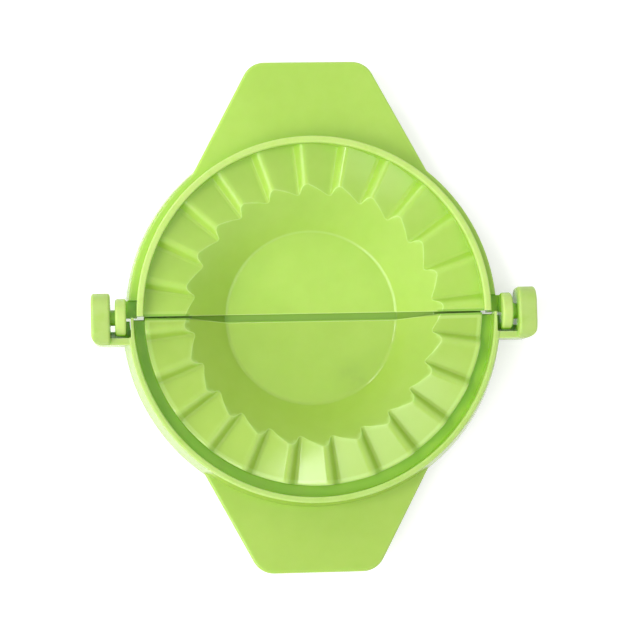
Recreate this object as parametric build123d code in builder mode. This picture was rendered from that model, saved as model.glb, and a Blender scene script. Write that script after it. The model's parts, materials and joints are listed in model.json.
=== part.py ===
"""Empanada press: two moulded plastic halves that snap together at a pin hinge.

The press lies open and flat.  X runs along the hinge, +Y points to the ridge half's handle and
+Z up.  The origin is on the resting plane, under the middle of the hinge.  All sizes are in mm.
"""
from build123d import *
from math import radians, sin, tan
import os

# --- bowl: flat floor, conical wall, the same in both halves -----------------------------------
bowl_depth = 9.4           # floor to mating plane
floor_radius = 18.6
floor_thickness = 1.6
cone_angle = 43.0          # bowl wall above the horizontal, degrees
cone_thickness = 1.6
floor_corner_radius = 1.2
base_corner_radius = 0.8

# --- seam: the straight edge where each bowl is cut through ------------------------------------
seam_gap = 0.15            # cut face to hinge axis, at the mating plane
seam_draft = 4.0           # cut faces lean apart below the mating plane, degrees
bowl_offset = 0.35         # bowl centre to hinge axis, so that the closed bowls are concentric
lip_reach = 1.6            # groove half: thin lip under the other's edge, past the hinge axis
lip_thickness = 0.5
lip_clearance = 0.15       # lip to the other half, which is rebated over it

# --- pleats: saw-tooth ring that crimps the dough ----------------------------------------------
pleat_count = 12           # valleys on each half
pleat_pitch = 15.0         # degrees
pleat_steep_angle = 2.9    # span of the steep face, degrees
pleat_height = 2.1
pleat_gap = 0.8            # closed gap between facing pleats at their outer end
pleat_inward_slope = 5.5   # pleats run down towards the bowl, degrees
pleat_crest_radius = 1.5
pleat_valley_radius = 0.35
pleat_valley_flat = 0.3
pleat_root = 0.6           # how far each pleat reaches into the ring under it
pleat_start_angle = 8.8    # ridge half: first valley, from the hinge's -X end, degrees
pleat_lead_angle = 4.2     # groove half: its crests come before the other's valleys, degrees

# --- ridge half: raised rim, flange outside it -------------------------------------------------
rim_outer_radius = 38.15
rim_thickness = 1.45
rim_height = 2.5           # above the mating plane
rim_edge_radius = 0.35
flange_edge_radius = 0.5

# --- groove half: groove for the rim, outer wall round it --------------------------------------
groove_clearance = 0.25    # rim to pleat block, in plan
wall_clearance = 0.65      # rim to outer wall, in plan
groove_bottom_gap = 0.4    # rim top to groove bottom, when closed
wall_height = 2.0          # above the mating plane
wall_top_width = 1.2
wall_edge_radius = 0.3
wall_landing_gap = 0.3     # wall top to the other half's flange, when closed

# --- skirt under both halves -------------------------------------------------------------------
ring_underside = 4.2       # below the mating plane
skirt_depth = 6.5          # below the mating plane
skirt_flare = 9.5          # outside face leans outwards on its way down, degrees
skirt_thickness = 1.4
skirt_edge_radius = 0.4

# --- handles -----------------------------------------------------------------------------------
handle_reach = 55.5        # hinge axis to tip
handle_tip_half_width = 12.6
handle_side_angle = 28.1   # from the Y axis, degrees
handle_thickness = 2.0
handle_corner_radius = 5.0
handle_edge_radius = 0.6
groove_handle_drop = 3.7   # mating plane to the top of the groove half's handle

# --- hinge: ears and pins on the ridge half ----------------------------------------------------
pin_radius = 1.7
pin_end_recess = 0.5       # pin end inside the cheek's outer face
pin_tip_chamfer = 0.4
ear_radius = 4.05
ear_thickness = 2.3
ear_edge_radius = 0.5
neck_width = 3.7           # along Y
neck_drop = 1.6            # below the flange, which is cut away over the neck
neck_depth = 6.5           # underside, below the mating plane

# --- hinge: brackets on the groove half --------------------------------------------------------
pin_clearance = 0.05       # radial, pin in bore
ear_wall_gap = 0.4         # wall to ear, along the axis
ear_cheek_gap = 1.1        # ear to cheek, along the axis
ear_swing_gap = 0.75       # ear to the cradle round it, radial
cheek_thickness = 4.0
cheek_front = 5.2          # hinge axis to the free end
cheek_top = 4.4            # above the hinge axis
cheek_bottom = 5.0         # below the hinge axis
cheek_corner_radius = 3.4
cheek_edge_radius = 0.6
cheek_front_radius = 0.8   # outer corner in plan
bracket_back = 5.95        # hinge axis to the back of the arm
bracket_corner_radius = 2.2
cradle_front = 2.75        # hinge axis to the front of the cradle under the ear
arm_top = 1.8              # above the hinge axis
arm_bottom = 6.0           # below the hinge axis

# --- worked out from the sizes above -----------------------------------------------------------
mating_z = bowl_depth + floor_thickness
rim_top_z = mating_z + rim_height
rim_inner_radius = rim_outer_radius - rim_thickness
rim_middle_radius = (rim_inner_radius + rim_outer_radius) / 2
pleat_block_radius = rim_inner_radius - groove_clearance
wall_inner_radius = rim_outer_radius + wall_clearance
wall_outer_radius = wall_inner_radius + wall_top_width
wall_middle_radius = (wall_inner_radius + wall_outer_radius) / 2
flange_radius = wall_outer_radius        # closed, the wall stands over it, flush outside
wall_top_z = mating_z + wall_height
flange_z = mating_z - wall_height - wall_landing_gap
groove_z = mating_z - rim_height - groove_bottom_gap
underside_z = mating_z - ring_underside
lip_end_radius = rim_inner_radius        # short of the skirt
skirt_z = mating_z - skirt_depth
pleat_crest_z = mating_z + (pleat_height - pleat_gap) / 2
pleat_valley_z = pleat_crest_z - pleat_height
ear_inner_x = wall_outer_radius + ear_wall_gap
ear_outer_x = ear_inner_x + ear_thickness
cheek_inner_x = ear_outer_x + ear_cheek_gap
cheek_outer_x = cheek_inner_x + cheek_thickness
swing_radius = ear_radius + ear_swing_gap
bore_radius = pin_radius + pin_clearance
clear_height = rim_top_z + handle_thickness     # above everything that a cut has to clear
clear_radius = handle_reach + cheek_thickness   # outside everything that a cut has to clear


def cone_radius(z, thickness=0.0):
    """Radius of the bowl's conical wall at height z: inside or, given a thickness, outside."""
    inside = floor_radius + (z - floor_thickness) / tan(radians(cone_angle))
    return inside + thickness / sin(radians(cone_angle))


def pleat_level(distance, outer_z):
    """Height, at this distance from the bowl's centre, of a pleat line that meets the rim at outer_z."""
    return outer_z - (rim_inner_radius - distance) * tan(radians(pleat_inward_slope))


def shell_points(top_radius, top_z):
    """Outline from the centre of the base, under the bowl and the ring, round the skirt to its top."""
    lean = tan(radians(skirt_flare))
    outside = top_radius + (top_z - skirt_z) * lean
    inside = outside - skirt_thickness
    return [
        (0, 0),
        (cone_radius(0, cone_thickness), 0),
        (cone_radius(underside_z, cone_thickness), underside_z),
        (inside - (underside_z - skirt_z) * lean, underside_z),
        (inside, skirt_z),
        (outside, skirt_z),
        (top_radius, top_z),
    ]


def corner_radii(points, rounded):
    """Fillet radius of every corner of an outline: those in rounded get theirs, the rest none."""
    return [rounded.get(index, 0) for index in range(len(points))]


def at_angle(piece, centre, angle):
    """A copy of a piece that lies along +X, turned about the vertical through a bowl's centre."""
    return piece.moved(Location(centre, (0, 0, angle)))


def outer_layer(centre, depth, end_radius, reach):
    """The shell's outermost layer, this deep, with all that is under it, as far as y = reach."""
    inset = cone_thickness - depth
    with BuildPart() as layer:
        with BuildSketch(Plane(origin=centre, x_dir=(0, -1, 0), z_dir=(-1, 0, 0))):
            with BuildLine():
                Polyline(
                    (0, -clear_height),
                    (0, depth),
                    (cone_radius(depth, inset), depth),
                    (cone_radius(underside_z + depth, inset), underside_z + depth),
                    (end_radius, underside_z + depth),
                    (end_radius, -clear_height),
                    close=True,
                )
            make_face()
        revolve(axis=Axis(centre, (0, 0, 1)))
        with Locations((0, reach, 0)):
            beyond = (Align.CENTER, Align.MIN, Align.CENTER)
            Box(2 * clear_radius, clear_radius, 2 * clear_radius, align=beyond, mode=Mode.SUBTRACT)
    return layer.part


# === tools for both halves =====================================================================

# what the bowl's floor and conical wall enclose, open at the top
with BuildPart() as bowl_cavity:
    with BuildSketch(Plane.XZ):
        with BuildLine():
            FilletPolyline(
                (0, clear_height),
                (0, floor_thickness),
                (floor_radius, floor_thickness),
                (cone_radius(clear_height), clear_height),
                radius=[0, 0, floor_corner_radius, 0],
                close=True,
            )
        make_face()
    revolve(axis=Axis.Z)

# what lies beyond the ridge half's seam face
with BuildPart() as seam_cut:
    with BuildSketch(Plane.YZ):
        with BuildLine():
            Polyline(
                (-clear_radius, clear_height),
                (seam_gap, clear_height),
                (seam_gap, mating_z),
                (seam_gap + mating_z * tan(radians(seam_draft)), 0),
                (-clear_radius, 0),
                close=True,
            )
        make_face()
    extrude(amount=clear_radius, both=True)

# one pleat, from valley to valley, along +X, with its steep face towards +Y
pleat_half_angle = pleat_pitch / 2
with BuildPart() as pleat:
    for distance in (rim_middle_radius, cone_radius(underside_z)):
        side = distance * tan(radians(pleat_half_angle))
        crest_side = distance * tan(radians(pleat_half_angle - pleat_steep_angle))
        valley = pleat_level(distance, pleat_valley_z)
        crest = pleat_level(distance, pleat_crest_z)
        with BuildSketch(Plane(origin=(distance, 0, 0), x_dir=(0, 1, 0), z_dir=(1, 0, 0))):
            with BuildLine():
                crown = FilletPolyline(
                    (-side, valley),
                    (-side + pleat_valley_flat, valley),
                    (crest_side, crest),
                    (side - pleat_valley_flat, valley),
                    (side, valley),
                    radius=[pleat_valley_radius, pleat_crest_radius, pleat_valley_radius],
                )
                Polyline(crown @ 1, (side, valley - pleat_root), (-side, valley - pleat_root), crown @ 0)
            make_face()
    loft(ruled=True)

# handle plate, towards +Y, with its top at height 0
handle_root_y = floor_radius
handle_taper = (handle_reach - handle_root_y) * tan(radians(handle_side_angle))
handle_root_half_width = handle_tip_half_width + handle_taper
with BuildPart() as handle_plate:
    with BuildSketch():
        with BuildLine():
            FilletPolyline(
                (-handle_root_half_width, handle_root_y),
                (-handle_tip_half_width, handle_reach),
                (handle_tip_half_width, handle_reach),
                (handle_root_half_width, handle_root_y),
                radius=[0, handle_corner_radius, handle_corner_radius, 0],
                close=True,
            )
        make_face()
    extrude(amount=-handle_thickness)
    fillet(handle_plate.edges().group_by(Axis.Z)[-1], handle_edge_radius)
    fillet(handle_plate.edges().group_by(Axis.Z)[0], handle_edge_radius)

# === ridge half ================================================================================
ridge_centre = Vector(0, bowl_offset, 0)

# handle, cut round where it enters the rim
with BuildPart() as ridge_handle:
    add(handle_plate.part.moved(Location((0, 0, flange_z))))
    with Locations(ridge_centre):
        Cylinder(rim_middle_radius, 2 * clear_height, mode=Mode.SUBTRACT)

# what is cut out of the flange over the neck at the +X end of the hinge
with BuildPart() as neck_recess:
    with BuildSketch(Plane.XY.offset(flange_z - neck_drop)):
        with Locations((rim_middle_radius, 0)):
            Rectangle(ear_inner_x - rim_middle_radius, seam_gap + neck_width, align=Align.MIN)
        with Locations(ridge_centre):
            Circle(rim_outer_radius, mode=Mode.SUBTRACT)
    extrude(amount=clear_height)

# neck, ear and pin at the +X end of the hinge
with BuildPart() as ear:
    with BuildSketch(Plane.YZ.offset(ear_inner_x)):
        with Locations((0, mating_z)):
            Circle(ear_radius)
    extrude(amount=ear_thickness)
    fillet(ear.edges(), ear_edge_radius)
    with BuildSketch(Plane.YZ.offset(rim_outer_radius)):
        with BuildLine():
            Polyline(
                (seam_gap, mating_z - neck_depth),
                (seam_gap + neck_width, mating_z - neck_depth),
                (seam_gap + neck_width, flange_z - neck_drop),
                (seam_gap, flange_z - neck_drop),
                close=True,
            )
        make_face()
    extrude(amount=ear_inner_x + ear_edge_radius - rim_outer_radius)
    with BuildSketch(Plane.YZ.offset(ear_inner_x + ear_edge_radius)):
        with Locations((0, mating_z)):
            Circle(pin_radius)
    extrude(amount=cheek_outer_x - pin_end_recess - ear_inner_x - ear_edge_radius)
    chamfer(ear.edges().group_by(Axis.X)[-1], pin_tip_chamfer)

# what makes room for the other half's lip
rebate_end_radius = lip_end_radius + lip_clearance
rebate_reach = lip_reach + lip_clearance
lip_rebate = outer_layer(ridge_centre, lip_thickness + lip_clearance, rebate_end_radius, rebate_reach)

# shell, pleats, handle, bowl, seam face and hinge ears
ridge_points = [
    *shell_points(flange_radius, flange_z),
    (rim_outer_radius, flange_z),
    (rim_outer_radius, rim_top_z),
    (rim_inner_radius, rim_top_z),
    (rim_inner_radius, pleat_level(rim_inner_radius, pleat_valley_z)),
    (0, pleat_level(0, pleat_valley_z)),
]
ridge_rounded = {
    1: base_corner_radius,
    2: base_corner_radius,
    4: skirt_edge_radius,
    5: skirt_edge_radius,
    6: flange_edge_radius,
    8: rim_edge_radius,
    9: rim_edge_radius,
}
with BuildPart() as ridge_half:
    with BuildSketch(Plane(origin=ridge_centre, x_dir=(0, -1, 0), z_dir=(-1, 0, 0))):
        with BuildLine():
            ridge_radii = corner_radii(ridge_points, ridge_rounded)
            FilletPolyline(*ridge_points, radius=ridge_radii, close=True)
        make_face()
    revolve(axis=Axis(ridge_centre, (0, 0, 1)))
    ridge_first_angle = 180 - pleat_start_angle + pleat_half_angle
    for step in range(pleat_count + 1):
        add(at_angle(pleat.part, ridge_centre, ridge_first_angle - step * pleat_pitch))
    add(ridge_handle.part)
    add(bowl_cavity.part.moved(Location(ridge_centre)), mode=Mode.SUBTRACT)
    add(seam_cut.part, mode=Mode.SUBTRACT)
    add(lip_rebate, mode=Mode.SUBTRACT)
    add([neck_recess.part, neck_recess.part.mirror(Plane.YZ)], mode=Mode.SUBTRACT)
    add([ear.part, ear.part.mirror(Plane.YZ)])
ridge_half.part.label = "ridge_half"

# === groove half ===============================================================================
groove_centre = Vector(0, -bowl_offset, 0)

# handle, cut round where it enters the outer wall
with BuildPart() as groove_handle:
    add(handle_plate.part.mirror(Plane.XZ).moved(Location((0, 0, mating_z - groove_handle_drop))))
    with Locations(groove_centre):
        Cylinder(wall_middle_radius, 2 * clear_height, mode=Mode.SUBTRACT)

# what the ear and its pin need inside the bracket at the +X end of the hinge
with BuildPart() as ear_room:
    with BuildSketch(Plane.YZ.offset(wall_middle_radius)):
        with Locations((0, mating_z)):
            Circle(swing_radius)
    extrude(amount=cheek_inner_x - wall_middle_radius)
    with BuildSketch(Plane.YZ.offset(cheek_inner_x)):
        with Locations((0, mating_z)):
            Circle(bore_radius)
    extrude(amount=cheek_thickness)

# bracket at the +X end of the hinge: cheek round the pin, cradle and arm behind the ear
with BuildPart() as bracket:
    with BuildSketch(Plane.YZ.offset(cheek_inner_x)):
        with Locations(((cheek_front - bracket_back) / 2, mating_z + (cheek_top - cheek_bottom) / 2)):
            RectangleRounded(cheek_front + bracket_back, cheek_top + cheek_bottom, cheek_corner_radius)
    extrude(amount=cheek_thickness)
    fillet(bracket.edges().group_by(Axis.X)[-1], cheek_edge_radius)
    fillet(bracket.edges().group_by(Axis.X)[0], cheek_edge_radius)
    with BuildSketch(Plane.XY.offset(mating_z - cheek_bottom)):
        with BuildLine():
            FilletPolyline(
                (cheek_inner_x, -bracket_back),
                (cheek_outer_x, -bracket_back),
                (cheek_outer_x, cheek_front),
                (cheek_inner_x, cheek_front),
                radius=[0, bracket_corner_radius, cheek_front_radius, 0],
                close=True,
            )
        make_face()
    extrude(amount=cheek_bottom + cheek_top, mode=Mode.INTERSECT)
    with BuildSketch(Plane.XY.offset(mating_z - arm_bottom)):
        with BuildLine():
            FilletPolyline(
                (wall_middle_radius, -cradle_front),
                (wall_middle_radius, -bracket_back),
                (cheek_outer_x, -bracket_back),
                (cheek_outer_x, -cradle_front),
                radius=[0, 0, bracket_corner_radius, 0],
                close=True,
            )
        make_face()
    extrude(amount=arm_bottom + arm_top)

# what lies beyond the groove half's seam face, but not its lip
with BuildPart() as groove_seam_cut:
    add(seam_cut.part.mirror(Plane.XZ))
    add(outer_layer(groove_centre, lip_thickness, lip_end_radius, lip_reach), mode=Mode.SUBTRACT)

groove_points = [
    *shell_points(wall_outer_radius, wall_top_z),
    (wall_inner_radius, wall_top_z),
    (wall_inner_radius, pleat_level(rim_inner_radius, pleat_valley_z)),
    (0, pleat_level(0, pleat_valley_z)),
]
groove_rounded = {
    1: base_corner_radius,
    2: base_corner_radius,
    4: skirt_edge_radius,
    5: skirt_edge_radius,
    6: wall_edge_radius,
    7: wall_edge_radius,
}
with BuildPart() as groove_half:
    with BuildSketch(Plane(origin=groove_centre, x_dir=(0, 1, 0), z_dir=(1, 0, 0))):
        with BuildLine():
            groove_radii = corner_radii(groove_points, groove_rounded)
            FilletPolyline(*groove_points, radius=groove_radii, close=True)
        make_face()
    revolve(axis=Axis(groove_centre, (0, 0, 1)))
    groove_start_angle = pleat_start_angle - pleat_lead_angle + pleat_steep_angle
    groove_first_angle = 180 + groove_start_angle - pleat_half_angle
    for step in range(pleat_count + 1):
        add(at_angle(pleat.part, groove_centre, groove_first_angle + step * pleat_pitch))
    with BuildSketch(Plane.XY.offset(groove_z)):
        with Locations(groove_centre):
            Circle(wall_inner_radius)
            Circle(pleat_block_radius, mode=Mode.SUBTRACT)
    extrude(amount=clear_height - groove_z, mode=Mode.SUBTRACT)
    add(groove_handle.part)
    add(bowl_cavity.part.moved(Location(groove_centre)), mode=Mode.SUBTRACT)
    add(groove_seam_cut.part, mode=Mode.SUBTRACT)
    add([bracket.part, bracket.part.mirror(Plane.YZ)])
    add([ear_room.part, ear_room.part.mirror(Plane.YZ)], mode=Mode.SUBTRACT)
groove_half.part.label = "groove_half"

os.makedirs("parts", exist_ok=True)
export_step(ridge_half.part, "parts/ridge_half.step")
export_step(groove_half.part, "parts/groove_half.step")
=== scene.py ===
"""Empanada press: moulded finishes, table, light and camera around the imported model.

The press lies open and flat on a pale table.  X runs along the hinge, +Y points to the ridge
half's handle and +Z up.  Everything is in metres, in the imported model's own frame.
"""

import json
import logging
import math
from dataclasses import dataclass, field
from enum import Enum

import bpy
from mathutils import Matrix, Vector

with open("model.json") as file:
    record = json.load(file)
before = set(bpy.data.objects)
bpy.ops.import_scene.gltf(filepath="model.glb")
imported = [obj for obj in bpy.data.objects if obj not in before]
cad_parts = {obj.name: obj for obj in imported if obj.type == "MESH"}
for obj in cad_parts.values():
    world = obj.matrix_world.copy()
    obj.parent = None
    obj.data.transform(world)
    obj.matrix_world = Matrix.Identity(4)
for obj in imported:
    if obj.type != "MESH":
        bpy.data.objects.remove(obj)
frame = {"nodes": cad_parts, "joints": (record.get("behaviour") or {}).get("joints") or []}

LOG = logging.getLogger("empanada_press")
MILLIMETRE = 0.001
BOWL_OFFSET = 0.35 * MILLIMETRE
UP = 2
PLASTIC_IOR = 1.49
Colour = tuple[float, float, float]
Point = tuple[float, float, float]


class Half(Enum):
    """The two mouldings of the press, by the names of their nodes."""

    RIDGE = "ridge_half"
    GROOVE = "groove_half"


class LampShape(Enum):
    """Outline of a lamp's glowing face."""

    ROUND = "DISK"
    SQUARE = "SQUARE"


def millimetres(length: float) -> float:
    """Return a length given in millimetres in metres."""
    return length * MILLIMETRE


def hinge_height(model: dict) -> float:
    """Return the height of the hinge axis, which is also the mating plane of the two halves.


    Returns:
        The height above the table, in metres.
    """
    return float(model["joints"][0]["pos_m"][UP])


class NodeSheet:
    """A small writer of shader nodes for one material."""

    def __init__(self, name: str) -> None:
        """Start an empty material.

        Args:
            name: Name of the material.
        """
        self.material = bpy.data.materials.new(name)
        self.material.use_nodes = True
        self.tree = self.material.node_tree
        self.tree.nodes.clear()
        own = self.add("ShaderNodeTexCoord")
        self.place = own.outputs["Object"]
        self.facing = own.outputs["Normal"]

    def add(self, kind: str, **settings: object) -> bpy.types.Node:
        """Add a node.

        Args:
            kind: Blender's name for the node's class.
            **settings: Properties to set on the node itself.

        Returns:
            The new node.
        """
        node = self.tree.nodes.new(kind)
        for name, value in settings.items():
            setattr(node, name, value)
        return node

    def feed(self, socket: bpy.types.NodeSocket, value: object) -> None:
        """Link an output to a socket, or set the socket to a plain value.

        Args:
            socket: The input to fill.
            value: An output socket, a number, or a vector or colour.
        """
        if isinstance(value, bpy.types.NodeSocket):
            self.tree.links.new(value, socket)
        else:
            socket.default_value = value

    def math(self, operation: str, *values: object, clamp: bool = False) -> bpy.types.NodeSocket:
        """Add a Math node.

        Args:
            operation: The Math node's operation.
            *values: Its inputs, in order.
            clamp: Whether the result is held between 0 and 1.

        Returns:
            The node's output.
        """
        node = self.add("ShaderNodeMath", operation=operation, use_clamp=clamp)
        for socket, value in zip(node.inputs, values):
            self.feed(socket, value)
        return node.outputs[0]

    def step(self, value: object, start: float, end: float) -> bpy.types.NodeSocket:
        """Return a smooth mask that is 0 at start and 1 at end.

        Args:
            value: What is measured.
            start: Value where the mask is 0.
            end: Value where the mask is 1.

        Returns:
            The mask.
        """
        node = self.add("ShaderNodeMapRange", interpolation_type="SMOOTHSTEP", clamp=True)
        self.feed(node.inputs["Value"], value)
        node.inputs["From Min"].default_value = start
        node.inputs["From Max"].default_value = end
        return node.outputs["Result"]

    def band(self, value: object, low: float, high: float, soft: float) -> bpy.types.NodeSocket:
        """Return a mask that is 1 between two values and fades out over soft on each side."""
        rising = self.step(value, low - soft, low)
        falling = self.step(value, high + soft, high)
        return self.math("MULTIPLY", rising, falling)

    def blend(self, share: object, first: object, second: object) -> bpy.types.NodeSocket:
        """Mix two colours.

        Args:
            share: How much of the second shows, from 0 to 1.
            first: A colour or an output that carries one.
            second: The same.

        Returns:
            The mixed colour.
        """
        node = self.add("ShaderNodeMix", data_type="RGBA", blend_type="MIX", clamp_factor=True)
        self.feed(node.inputs["Factor"], share)
        self.feed(node.inputs["A"], opaque(first))
        self.feed(node.inputs["B"], opaque(second))
        return node.outputs["Result"]

    def noise(self, scale: float, detail: float = 2.0, roughness: float = 0.5,
              place: object = None, shift: float = 0.0) -> bpy.types.NodeSocket:
        """Return a noise value around 0.5.

        Args:
            scale: Grains per metre.
            detail: Number of finer layers.
            roughness: Strength of the finer layers.
            place: Coordinates to read, the object's own if None.
            shift: Moves the pattern, so that two pieces differ.

        Returns:
            The noise's value.
        """
        node = self.add("ShaderNodeTexNoise", noise_dimensions="4D")
        self.feed(node.inputs["Vector"], self.place if place is None else place)
        node.inputs["W"].default_value = shift
        node.inputs["Scale"].default_value = scale
        node.inputs["Detail"].default_value = detail
        node.inputs["Roughness"].default_value = roughness
        return node.outputs["Fac"]

    def closeness(self, width: float, inside: bool) -> bpy.types.NodeSocket:
        """Measure how much lies close to the face.

        Args:
            width: How far is looked, in millimetres.
            inside: Whether to look into the plastic, for outside corners, or out of it, for nooks.

        Returns:
            A value that is 0 on open flat faces and grows towards 1.
        """
        look = self.add("ShaderNodeAmbientOcclusion", inside=inside, only_local=inside, samples=8)
        look.inputs["Distance"].default_value = millimetres(width)
        return self.math("SUBTRACT", 1.0, look.outputs["AO"])

    def outside_corners(self, width: float) -> bpy.types.NodeSocket:
        """Return a mask that is 1 along outside corners and gone this many millimetres away."""
        return self.step(self.closeness(width, inside=True), 0.03, 0.14)


def opaque(colour: object) -> object:
    """Return a plain colour with its alpha, and anything else as it is."""
    return (*colour, 1.0) if isinstance(colour, tuple) else colour


@dataclass(frozen=True)
class Smudge:
    """A soft dirty smear on a bowl's floor, with its place and size in millimetres."""

    along: float
    across: float
    size: float
    strength: float

    def mask(self, sheet: NodeSheet, patchiness: object) -> bpy.types.NodeSocket:
        """Return the smear's mask.

        Args:
            sheet: The material's nodes.
            patchiness: A noise that breaks the smear up.

        Returns:
            A mask that is strongest in the middle and gone at the smear's size.
        """
        away = sheet.add("ShaderNodeVectorMath", operation="DISTANCE")
        sheet.feed(away.inputs[0], sheet.place)
        away.inputs[1].default_value = (millimetres(self.along), millimetres(self.across), 0.0)
        near = sheet.step(away.outputs["Value"], millimetres(self.size), 0.0)
        return sheet.math("MULTIPLY", sheet.math("MULTIPLY", near, patchiness), self.strength)


@dataclass(frozen=True)
class MouldedGreen:
    """Glossy light green polypropylene as it comes out of a steel mould, a little used, with
    painted highlights on its edges and painted shade in its crevices and seam.

    All lengths are in millimetres, and heights are over the mating plane.  A share says how much
    of a tone shows, from 0 to 1.
    """

    body: Colour = (0.446, 0.668, 0.108)
    deep: Colour = (0.400, 0.621, 0.085)
    rubbed: Colour = (0.535, 0.700, 0.195)
    # Pale colour of worn edges, also used as painted highlight on edges, crests and round the
    # floor.
    edge_wear_and_highlight: Colour = (0.620, 0.850, 0.300)
    # Saturated green painted into crevices as the colour of their shade.
    crevice_shade: Colour = (0.400, 0.790, 0.028)
    # Dark colour of the real smudges, also used as painted shade deep in the seam.
    dirt_and_seam_shade: Colour = (0.200, 0.320, 0.050)
    # Dark green painted along the seam's edges as shade.
    seam_edge_shade: Colour = (0.200, 0.450, 0.024)
    speck: Colour = (0.060, 0.110, 0.020)
    smudges: tuple[Smudge, ...] = ()

    cloud_share: float = 0.65
    rubbed_share: float = 0.85
    # crest_highlight_share: how strongly the pleats' crests take the painted highlight.
    crest_highlight_share: float = 0.30
    edge_wear_and_highlight_share: float = 0.50
    pleat_edge_highlight_share: float = 0.0
    crevice_shade_share: float = 0.60
    pleat_crevice_shade_relief: float = 0.0
    floor_highlight_share: float = 0.0
    seam_shade_share: float = 0.0
    seam_edge_shade_share: float = 0.80
    speck_share: float = 0.55

    glow_share: float = 0.45
    glow_depth: Colour = (1.4, 2.4, 0.5)
    gloss_roughness: float = 0.19
    rubbed_roughness: float = 0.42

    floor_radius: float = 18.65
    floor_height: float = -8.6
    bowl_radius: float = 27.2
    ring_radius: float = 36.7
    ring_fade: float = 0.6
    ring_heights: tuple[float, float] = (-3.0, 0.9)
    block_heights: tuple[float, float] = (-2.2, 1.2)
    block_fade: float = 0.2
    top_height: float = 1.75
    top_fade: float = 0.35
    seam_foot: tuple[float, float] = (-1.2, -2.0)
    seam_reach: tuple[float, float] = (-0.65, -0.50)
    seam_edge_shade_width: float = 0.55
    seam_edge_shade_fade: float = 0.17
    floor_highlight_width: float = 0.30
    floor_highlight_fade: float = 0.2
    edge_width: float = 0.22
    block_edge_width: float = 0.22
    pleat_edge_width: float = 0.22
    crest_highlight_width: float = 1.2
    crevice_shade_width: float = 4.0

    cloud_size: float = 22.0
    smear_size: float = 7.0
    wave_size: float = 5.0
    mottle_size: float = 3.0
    grain_size: float = 0.55
    scuff_size: float = 0.35
    tool_mark_width: float = 0.22
    tool_mark_length: float = 9.0
    speck_spacing: float = 8.0
    speck_size: float = 0.28

    wave_height: float = 0.020
    scuff_height: float = 0.010
    tool_mark_height: float = 0.0065
    grain_height: float = 0.0012

    def material(self, half: Half, centre_y: float, plane_z: float) -> bpy.types.Material:
        """Build the finish for one half.

        Args:
            half: The half that it is for.
            centre_y: Y of the centre of that half's bowl, in metres.
            plane_z: Height of the mating plane, in metres.

        Returns:
            The material.
        """
        sheet = NodeSheet(f"{half.value}_moulded_green")
        shift = float(list(Half).index(half))
        spin, reach, height = self.polar(sheet, centre_y, plane_z)
        tops = self.rubbed_tops(sheet, height, shift)
        ring = self.pleat_ring(sheet, reach, height)
        rounded = self.rounded_edges(sheet, reach, height)
        shader = sheet.add("ShaderNodeBsdfPrincipled")
        colour = self.colour(sheet, shift, reach, height, tops, ring)
        sheet.feed(shader.inputs["Base Color"], colour)
        sheet.feed(shader.inputs["Roughness"], self.roughness(sheet, shift, tops))
        relief = self.relief(sheet, self.tool_marks(sheet, spin, reach, ring, shift), shift, tops)
        sheet.feed(shader.inputs["Normal"], self.bumped(sheet, relief, rounded))
        shader.inputs["IOR"].default_value = PLASTIC_IOR
        shader.inputs["Subsurface Weight"].default_value = self.glow_share
        shader.inputs["Subsurface Radius"].default_value = self.glow_depth
        shader.inputs["Subsurface Scale"].default_value = MILLIMETRE
        output = sheet.add("ShaderNodeOutputMaterial")
        sheet.feed(output.inputs["Surface"], shader.outputs["BSDF"])
        return sheet.material

    def polar(self, sheet: NodeSheet, centre_y: float, plane_z: float) -> tuple:
        """Measure each point from the bowl's centre.

        Args:
            sheet: The material's nodes.
            centre_y: Y of the bowl's centre, in metres.
            plane_z: Height of the mating plane, in metres.

        Returns:
            The angle in radians, the radius in metres and the height over the mating plane.
        """
        axes = sheet.add("ShaderNodeSeparateXYZ")
        sheet.feed(axes.inputs[0], sheet.place)
        along = axes.outputs["X"]
        across = sheet.math("SUBTRACT", axes.outputs["Y"], centre_y)
        spin = sheet.math("ARCTAN2", across, along)
        squares = sheet.math("MULTIPLY_ADD", along, along, sheet.math("MULTIPLY", across, across))
        reach = sheet.math("SQRT", squares)
        height = sheet.math("SUBTRACT", axes.outputs["Z"], plane_z)
        return spin, reach, height

    def rubbed_tops(self, sheet: NodeSheet, height: object, shift: float) -> bpy.types.NodeSocket:
        """Return the mask of the highest edges, which are rubbed pale where they land and stack."""
        foot = millimetres(self.top_height - self.top_fade)
        high = sheet.step(height, foot, millimetres(self.top_height))
        patchy = sheet.noise(1 / millimetres(self.mottle_size), 4.0, 0.6, shift=shift + 3.1)
        return sheet.math("MULTIPLY", high, sheet.step(patchy, 0.15, 0.55))

    def rounded_edges(self, sheet: NodeSheet, reach: object,
                      height: object) -> bpy.types.NodeSocket:
        """Return the normal with softened edges, softer at the outer edge of the pleats.

        Args:
            sheet: The material's nodes.
            reach: Radius from the bowl's centre.
            height: Height over the mating plane.

        Returns:
            The normal.
        """
        outer = millimetres(self.ring_radius)
        wide = millimetres(self.block_edge_width)
        ring = sheet.band(reach, outer - wide, outer, wide / 2)
        low, high = map(millimetres, self.block_heights)
        level = sheet.band(height, low, high, millimetres(self.block_fade))
        softer = sheet.math("MULTIPLY", ring, level)
        extra = millimetres(self.block_edge_width - self.edge_width)
        pleats = self.pleat_ring(sheet, reach, height)
        radius = sheet.math("MULTIPLY_ADD", softer, extra, millimetres(self.edge_width))
        blunt = sheet.math("MULTIPLY", pleats, millimetres(self.pleat_edge_width))
        radius = sheet.math("MAXIMUM", radius, blunt)
        rounded = sheet.add("ShaderNodeBevel", samples=8)
        sheet.feed(rounded.inputs["Radius"], radius)
        return rounded.outputs["Normal"]

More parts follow.
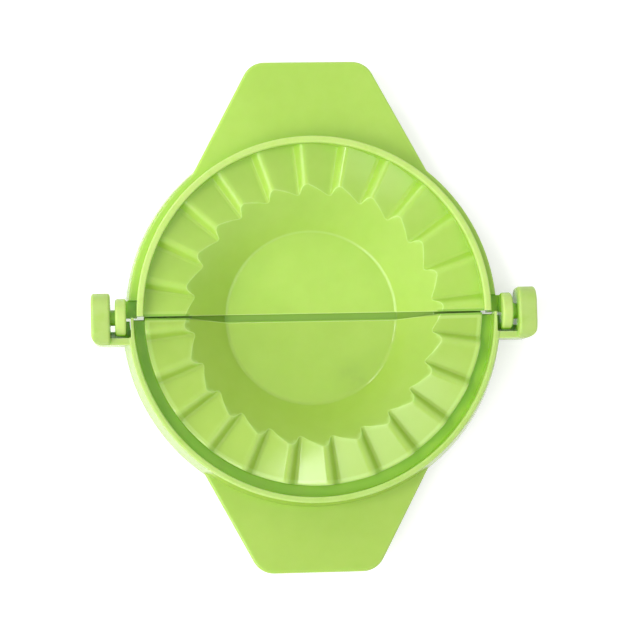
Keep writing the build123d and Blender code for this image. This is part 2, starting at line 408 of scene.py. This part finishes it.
    def colour(self, sheet: NodeSheet, shift: float, reach: object, height: object, tops: object,
               ring: object) -> bpy.types.NodeSocket:
        """Return the colour: clouded pigment, rubbed pale tops, edges partly worn and partly
        painted highlight, painted highlights on crests and round the floor, painted shade in
        crevices and along the seam, smears and specks.

        Args:
            sheet: The material's nodes.
            shift: Moves the patterns, so that the halves differ.
            reach: Radius from the bowl's centre.
            height: Height over the mating plane.
            tops: Mask of the rubbed tops.
            ring: Mask of the pleats.

        Returns:
            The colour.
        """
        broad = sheet.noise(1 / millimetres(self.cloud_size), 3.0, shift=shift)
        clouds = sheet.step(broad, 0.3, 0.7)
        fine = sheet.noise(1 / millimetres(self.mottle_size), 4.0, shift=shift)
        mottle = sheet.step(fine, 0.25, 0.75)
        clouded = sheet.math("MULTIPLY", clouds, self.cloud_share)
        share = sheet.math("MULTIPLY_ADD", mottle, 1.0 - self.cloud_share, clouded)
        colour = sheet.blend(share, self.deep, self.body)
        colour = sheet.blend(sheet.math("MULTIPLY", tops, self.rubbed_share), colour, self.rubbed)
        # Painted highlight: the pleats' crests are lightened towards the pale edge colour, standing
        # in for light on their rounded tops.
        crest_highlights = sheet.math("MULTIPLY", sheet.outside_corners(self.crest_highlight_width), ring)
        shown = sheet.math("MULTIPLY", crest_highlights, self.crest_highlight_share)
        colour = sheet.blend(shown, colour, self.edge_wear_and_highlight)
        # Partly real edge wear and partly painted highlight: outside corners are lightened, more on
        # the pleats, where the pale lines stand in for glints on their edges.
        edges = sheet.outside_corners(self.edge_width)
        shown = sheet.math("MULTIPLY_ADD", ring, self.pleat_edge_highlight_share, self.edge_wear_and_highlight_share)
        colour = sheet.blend(sheet.math("MULTIPLY", edges, shown), colour, self.edge_wear_and_highlight)
        # Painted shade: slots, the channel, the pleats' valleys and other crevices take a saturated
        # green that stands in for the light reaching their shade through the plastic; less of it on
        # the ridge half's pleats.
        crevice_shade_mask = sheet.step(sheet.closeness(self.crevice_shade_width, inside=False), 0.25, 0.65)
        shown = sheet.math("MULTIPLY_ADD", ring, -self.pleat_crevice_shade_relief, self.crevice_shade_share)
        colour = sheet.blend(sheet.math("MULTIPLY", crevice_shade_mask, shown), colour, self.crevice_shade)
        # Painted highlight: a pale line round the floor's edge, on the ridge half only.
        colour = sheet.blend(self.painted_floor_highlight(sheet, reach, height), colour, self.edge_wear_and_highlight)
        # Painted shade: the lip deep in the seam between the halves is darkened, on the groove half
        # only.
        seam_shade = sheet.math("MULTIPLY", self.seam(sheet, height), self.seam_shade_share)
        colour = sheet.blend(seam_shade, colour, self.dirt_and_seam_shade)
        # Painted shade: the pleats' tops next to the seam are darkened, so that the seam's shadow
        # reads wider.
        colour = sheet.blend(self.painted_seam_edge_shade(sheet, ring), colour, self.seam_edge_shade)
        for smudge in self.smudges:
            colour = sheet.blend(smudge.mask(sheet, mottle), colour, self.dirt_and_seam_shade)
        return sheet.blend(self.specks(sheet, shift), colour, self.speck)

    def painted_floor_highlight(self, sheet: NodeSheet, reach: object, height: object) -> bpy.types.NodeSocket:
        """Return the mask of the painted highlight, a pale line round the bowl's floor."""
        half = millimetres(self.floor_highlight_width) / 2
        middle = millimetres(self.floor_radius)
        line = sheet.band(reach, middle - half, middle + half, half)
        foot = millimetres(self.floor_height - self.floor_highlight_fade)
        low = sheet.step(height, millimetres(self.floor_height), foot)
        return sheet.math("MULTIPLY", sheet.math("MULTIPLY", line, low), self.floor_highlight_share)

    def seam(self, sheet: NodeSheet, height: object) -> bpy.types.NodeSocket:
        """Return the mask of the painted shade on what lies between the two halves' cut edges,
        below the pleats.
        """
        axes = sheet.add("ShaderNodeSeparateXYZ")
        sheet.feed(axes.inputs[0], sheet.place)
        beyond = sheet.step(axes.outputs["Y"], *map(millimetres, self.seam_reach))
        below = sheet.step(height, *map(millimetres, self.seam_foot))
        return sheet.math("MULTIPLY", beyond, below)

    def painted_seam_edge_shade(self, sheet: NodeSheet, ring: object) -> bpy.types.NodeSocket:
        """Return the mask of the painted shade along the pleats' cut ends at the hinge.

        Args:
            sheet: The material's nodes.
            ring: Mask of the pleats.

        Returns:
            The mask, which leaves out the cut faces themselves.
        """
        axes = sheet.add("ShaderNodeSeparateXYZ")
        sheet.feed(axes.inputs[0], sheet.place)
        away = sheet.math("ABSOLUTE", axes.outputs["Y"])
        width = self.seam_edge_shade_width
        near = sheet.step(away, millimetres(width + self.seam_edge_shade_fade), millimetres(width))
        facing = sheet.add("ShaderNodeSeparateXYZ")
        sheet.feed(facing.inputs[0], sheet.facing)
        open_face = sheet.step(sheet.math("ABSOLUTE", facing.outputs["Y"]), 0.97, 0.90)
        seam_shaded = sheet.math("MULTIPLY", sheet.math("MULTIPLY", near, open_face), ring)
        return sheet.math("MULTIPLY", seam_shaded, self.seam_edge_shade_share)

    def specks(self, sheet: NodeSheet, shift: float) -> bpy.types.NodeSocket:
        """Return the mask of the dark specks that sit in some cells of a scattered grid."""
        cells = sheet.add("ShaderNodeTexVoronoi", voronoi_dimensions="4D", feature="F1")
        sheet.feed(cells.inputs["Vector"], sheet.place)
        cells.inputs["W"].default_value = shift
        cells.inputs["Scale"].default_value = 1 / millimetres(self.speck_spacing)
        size = self.speck_size / self.speck_spacing
        near = sheet.step(cells.outputs["Distance"], size, size * 0.4)
        tint = sheet.add("ShaderNodeSeparateColor")
        sheet.feed(tint.inputs[0], cells.outputs["Color"])
        chosen = sheet.math("GREATER_THAN", tint.outputs[0], 1.0 - self.speck_share)
        return sheet.math("MULTIPLY", near, chosen)

    def roughness(self, sheet: NodeSheet, shift: float, tops: object) -> bpy.types.NodeSocket:
        """Return the roughness: glossy, with smears from handling, and matt where it is rubbed."""
        patches = sheet.noise(1 / millimetres(self.smear_size), 3.0, 0.6, shift=shift + 5.0)
        smears = sheet.step(patches, 0.45, 0.75)
        grain = sheet.noise(1 / millimetres(self.grain_size), 2.0, shift=shift)
        gloss = sheet.math("MULTIPLY_ADD", smears, 0.06, self.gloss_roughness - 0.02)
        fine = sheet.math("MULTIPLY_ADD", grain, 0.04, gloss)
        matt = sheet.math("MULTIPLY", tops, self.rubbed_roughness - self.gloss_roughness)
        return sheet.math("ADD", fine, matt, clamp=True)

    def pleat_ring(self, sheet: NodeSheet, reach: object, height: object) -> bpy.types.NodeSocket:
        """Return the mask of the pleats, by their radius and height."""
        soft = millimetres(self.ring_fade)
        ring = sheet.band(reach, millimetres(self.bowl_radius), millimetres(self.ring_radius), soft)
        low, high = map(millimetres, self.ring_heights)
        level = sheet.band(height, low, high, soft / 2)
        return sheet.math("MULTIPLY", ring, level)

    def tool_marks(self, sheet: NodeSheet, spin: object, reach: object, ring: object,
                   shift: float) -> bpy.types.NodeSocket:
        """Return the fine lines that run along the pleats, left in them by the mould's cutter.

        Args:
            sheet: The material's nodes.
            spin: Angle round the bowl.
            reach: Radius from the bowl's centre.
            ring: Mask of the pleats.
            shift: Moves the lines, so that the halves differ.

        Returns:
            The lines' height, from 0 to 1.
        """
        middle = (self.bowl_radius + self.ring_radius) / 2
        grid = sheet.add("ShaderNodeCombineXYZ")
        sheet.feed(grid.inputs[0], sheet.math("MULTIPLY", spin, middle / self.tool_mark_width))
        per_length = 1 / millimetres(self.tool_mark_length)
        sheet.feed(grid.inputs[1], sheet.math("MULTIPLY", reach, per_length))
        lines = sheet.noise(1.0, 2.0, 0.6, place=grid.outputs[0], shift=shift)
        return sheet.math("MULTIPLY", lines, ring)

    def relief(self, sheet: NodeSheet, marks: object, shift: float,
               tops: object) -> bpy.types.NodeSocket:
        """Return the small relief in millimetres: tool marks, slow waves, fine grain and scuffs.

        Args:
            sheet: The material's nodes.
            marks: Height of the tool marks, from 0 to 1.
            shift: Moves the patterns, so that the halves differ.
            tops: Mask of the rubbed tops.

        Returns:
            The relief's height.
        """
        grain = sheet.noise(1 / millimetres(self.grain_size), 3.0, shift=shift + 1.7)
        waves = sheet.noise(1 / millimetres(self.wave_size), 1.0, shift=shift + 2.3)
        scratches = sheet.noise(1 / millimetres(self.scuff_size), 3.0, 0.7, shift=shift + 4.1)
        total = sheet.math("MULTIPLY", sheet.math("MULTIPLY", scratches, tops), self.scuff_height)
        total = sheet.math("MULTIPLY_ADD", waves, self.wave_height, total)
        total = sheet.math("MULTIPLY_ADD", grain, self.grain_height, total)
        return sheet.math("MULTIPLY_ADD", marks, self.tool_mark_height, total)

    def bumped(self, sheet: NodeSheet, relief: object, rounded: object) -> bpy.types.NodeSocket:
        """Return the softened normal with the relief laid over it."""
        bump = sheet.add("ShaderNodeBump")
        bump.inputs["Distance"].default_value = MILLIMETRE
        sheet.feed(bump.inputs["Height"], relief)
        sheet.feed(bump.inputs["Normal"], rounded)
        return bump.outputs["Normal"]


RIDGE_GREEN = MouldedGreen(
    crest_highlight_share=0.15,
    floor_highlight_share=0.16,
    pleat_edge_highlight_share=0.30,
    pleat_crevice_shade_relief=0.35,
)
# Painted shade: the groove half is the same plastic as the ridge half, but its body, deep and
# rubbed colours are set darker for the weaker light on that half.
GROOVE_SHADED_GREEN = MouldedGreen(
    body=(0.410, 0.600, 0.096),
    deep=(0.361, 0.553, 0.074),
    rubbed=(0.452, 0.620, 0.165),
    pleat_edge_width=0.45,
    seam_shade_share=0.7,
    block_edge_width=0.8,
    smudges=(Smudge(9.0, -13.5, 6.5, 0.45), Smudge(13.5, -9.5, 4.0, 0.30)),
)


@dataclass(frozen=True)
class PaleTable:
    """The finish of the table: matt white, lifted to a clean background where it shows itself."""

    paint: Colour = (0.86, 0.86, 0.86)
    lift: float = 0.45

    def material(self) -> bpy.types.Material:
        """Build the table's material.

        Returns:
            The material.
        """
        sheet = NodeSheet("pale_table")
        path = sheet.add("ShaderNodeLightPath")
        seen = sheet.math("MAXIMUM", path.outputs["Is Camera Ray"], path.outputs["Is Glossy Ray"])
        seen = sheet.math("MAXIMUM", seen, path.outputs["Is Transmission Ray"])
        matt = sheet.add("ShaderNodeBsdfDiffuse")
        matt.inputs["Color"].default_value = opaque(self.paint)
        glow = sheet.add("ShaderNodeEmission")
        sheet.feed(glow.inputs["Strength"], sheet.math("MULTIPLY", seen, self.lift))
        both = sheet.add("ShaderNodeAddShader")
        sheet.feed(both.inputs[0], matt.outputs["BSDF"])
        sheet.feed(both.inputs[1], glow.outputs["Emission"])
        output = sheet.add("ShaderNodeOutputMaterial")
        sheet.feed(output.inputs["Surface"], both.outputs["Shader"])
        return sheet.material


@dataclass
class PressHalf:
    """One moulding of the press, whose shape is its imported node's."""

    half: Half
    centre_y: float
    plane_z: float
    finish: MouldedGreen

    def dress(self, nodes: dict[str, bpy.types.Object]) -> bpy.types.Object:
        """Give the node its moulded finish.

        Args:
            nodes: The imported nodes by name.

        Returns:
            The dressed object.
        """
        shell = nodes[self.half.value]
        material = self.finish.material(self.half, self.centre_y, self.plane_z)
        for place in shell.material_slots:
            place.material = material
        LOG.info("%s dressed in %s", shell.name, material.name)
        return shell


@dataclass(frozen=True)
class Lamp:
    """A soft lamp that faces a point of the press."""

    name: str
    place: Point
    size: float
    brightness: float
    shape: LampShape = LampShape.ROUND
    target: Point = (0.0, 0.0, 0.01)

    def light(self) -> bpy.types.Object:
        """Make the lamp.

        Brightness is the radiance of the lamp's face, where 1 is a white surface in full light.

        Returns:
            The lamp's object.
        """
        data = bpy.data.lights.new(self.name, "AREA")
        data.shape = self.shape.value
        data.size = self.size
        face = self.size ** 2
        if self.shape is LampShape.ROUND:
            face *= math.pi / 4
        data.energy = self.brightness * face * math.pi
        lamp = bpy.data.objects.new(self.name, data)
        bpy.context.scene.collection.objects.link(lamp)
        lamp.location = self.place
        ray = Vector(self.target) - Vector(self.place)
        lamp.rotation_euler = ray.to_track_quat("-Z", "Y").to_euler()
        lamp.visible_camera = False
        return lamp


@dataclass
class Studio:
    """The table, the world around it and the lamps."""

    table_size: float = 6.0
    sky: float = 0.63
    table: PaleTable = field(default_factory=PaleTable)
    lamps: tuple[Lamp, ...] = (
        Lamp("window", (-0.60, -0.28, 0.62), 0.75, 3.0, LampShape.SQUARE),
        Lamp("pleat_gleam", (-0.212, 0.066, 0.411), 0.084, 14.0),
        Lamp("pleat_sheen", (0.228, -0.084, 0.411), 0.140, 2.4),
        Lamp("edge_gleam", (-0.350, 0.420, 0.330), 0.100, 18.0),
    )

    def build(self) -> bpy.types.Object:
        """Lay the table, light the world and hang the lamps.

        Returns:
            The table's object.
        """
        bpy.ops.object.select_all(action="DESELECT")
        bpy.ops.mesh.primitive_plane_add(size=self.table_size, location=(0.0, 0.0, 0.0))
        table = bpy.context.object
        table.name = "table_top"
        table.data.materials.append(self.table.material())
        self.world()
        for lamp in self.lamps:
            lamp.light()
        LOG.info("%s laid, %d lamps hung", table.name, len(self.lamps))
        return table

    def world(self) -> None:
        """Make the world: soft even light on the press, plain white where it shows itself."""
        world = bpy.data.worlds.new("soft_room")
        bpy.context.scene.world = world
        world.use_nodes = True
        tree = world.node_tree
        tree.nodes.clear()
        path = tree.nodes.new("ShaderNodeLightPath")
        shown = path.outputs["Is Camera Ray"]
        for ray in ("Is Glossy Ray", "Is Transmission Ray"):
            either = tree.nodes.new("ShaderNodeMath")
            either.operation = "MAXIMUM"
            tree.links.new(shown, either.inputs[0])
            tree.links.new(path.outputs[ray], either.inputs[1])
            shown = either.outputs[0]
        level = tree.nodes.new("ShaderNodeMapRange")
        level.inputs["To Min"].default_value = self.sky
        level.inputs["To Max"].default_value = 1.0
        tree.links.new(shown, level.inputs["Value"])
        background = tree.nodes.new("ShaderNodeBackground")
        background.inputs["Color"].default_value = (1.0, 1.0, 1.0, 1.0)
        tree.links.new(level.outputs["Result"], background.inputs["Strength"])
        output = tree.nodes.new("ShaderNodeOutputWorld")
        tree.links.new(background.outputs["Background"], output.inputs["Surface"])


@dataclass(frozen=True)
class Viewpoint:
    """A camera almost straight above the open press, a little towards -X and -Y."""

    distance: float = 0.4356
    tilt: float = math.radians(-3.840)
    sway: float = math.radians(4.418)
    roll: float = math.radians(1.330)
    aside: float = millimetres(1.18)
    ahead: float = millimetres(-1.20)
    focal_length: float = 113.77
    film_width: float = 36.0

    def camera(self, plane_z: float) -> bpy.types.Object:
        """Make the scene's camera.

        Args:
            plane_z: Height of the plane that the distance is measured from, in metres.

        Returns:
            The camera's object.
        """
        turn = (
            Matrix.Rotation(self.roll, 3, "Z")
            @ Matrix.Rotation(self.tilt, 3, "X")
            @ Matrix.Rotation(self.sway, 3, "Y")
        ).transposed()
        data = bpy.data.cameras.new("overhead_camera")
        data.lens = self.focal_length
        data.sensor_width = self.film_width
        data.clip_start = self.distance / 10
        camera = bpy.data.objects.new("overhead_camera", data)
        bpy.context.scene.collection.objects.link(camera)
        place = turn @ Vector((self.aside, self.ahead, self.distance)) + Vector((0.0, 0.0, plane_z))
        camera.matrix_world = Matrix.Translation(place) @ turn.to_4x4()
        bpy.context.scene.camera = camera
        return camera


def main() -> None:
    """Dress both halves, set the table, the light and the camera."""
    logging.basicConfig(level=logging.INFO, format="%(message)s")
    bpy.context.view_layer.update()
    bpy.context.scene.view_settings.view_transform = "Standard"
    plane_z = hinge_height(frame)
    Viewpoint().camera(plane_z)
    ridge_half = PressHalf(Half.RIDGE, BOWL_OFFSET, plane_z, RIDGE_GREEN)
    groove_half = PressHalf(Half.GROOVE, -BOWL_OFFSET, plane_z, GROOVE_SHADED_GREEN)
    for piece in (ridge_half, groove_half):
        piece.dress(frame["nodes"])
    Studio().build()


if __name__ == "__main__":
    main()
